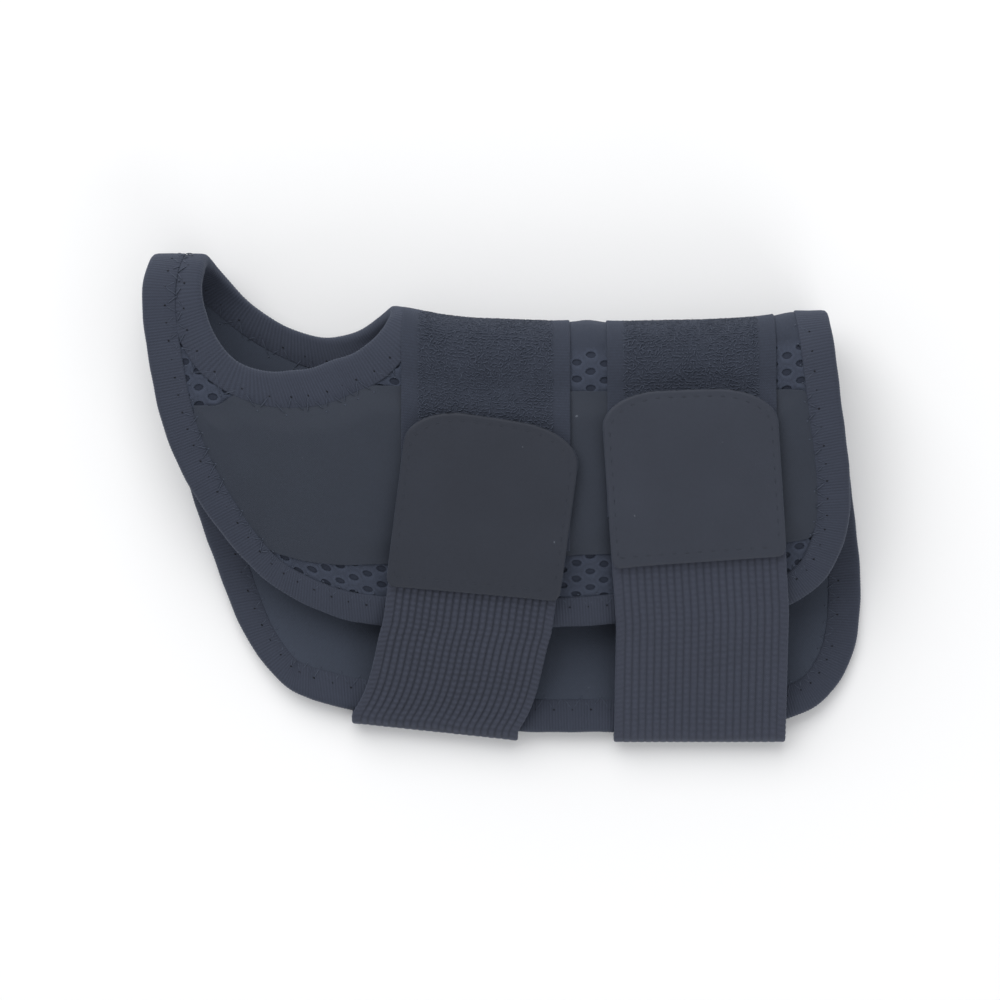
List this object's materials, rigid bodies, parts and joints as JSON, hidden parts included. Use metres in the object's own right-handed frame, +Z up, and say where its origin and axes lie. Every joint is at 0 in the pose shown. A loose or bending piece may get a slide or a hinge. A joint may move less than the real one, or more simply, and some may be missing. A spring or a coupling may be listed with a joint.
{
  "type": "wrist brace",
  "caption": "Soft wrist brace lying flat: a padded mesh wrap folded at the thumb side, bound edges, thumb hole, stay panel and elastic straps with hook tabs.",
  "frame": {"origin": "middle of the bounding box on the surface that the brace lies on", "axes": "+X along the forearm from the hand end to the elbow end, +Y towards the folded thumb side, +Z up, off the surface"},
  "size_m": [0.1712, 0.1169, 0.0323],
  "materials": {
    "mesh_cloth": "dark navy-black spacer mesh, matt",
    "binding_tape": "fine ribbed tape with zigzag stitching",
    "panel_cloth": "smooth tight knit, matt",
    "loop_pile": "fuzzy loop pile",
    "elastic_webbing": "ribbed woven elastic",
    "hook_tab": "smooth flat back with dotted stitching"
  },
  "bodies": {
    "root": {"wrap_shell": "mesh_cloth", "edge_binding": "binding_tape", "thumb_binding": "binding_tape", "stay_panel": "panel_cloth", "loop_strip_hand": "loop_pile", "loop_strip_forearm": "loop_pile", "webbing_hand": "elastic_webbing", "webbing_forearm": "elastic_webbing", "hook_tab_hand": "hook_tab", "hook_tab_forearm": "hook_tab"}
  },
  "joints": []
}
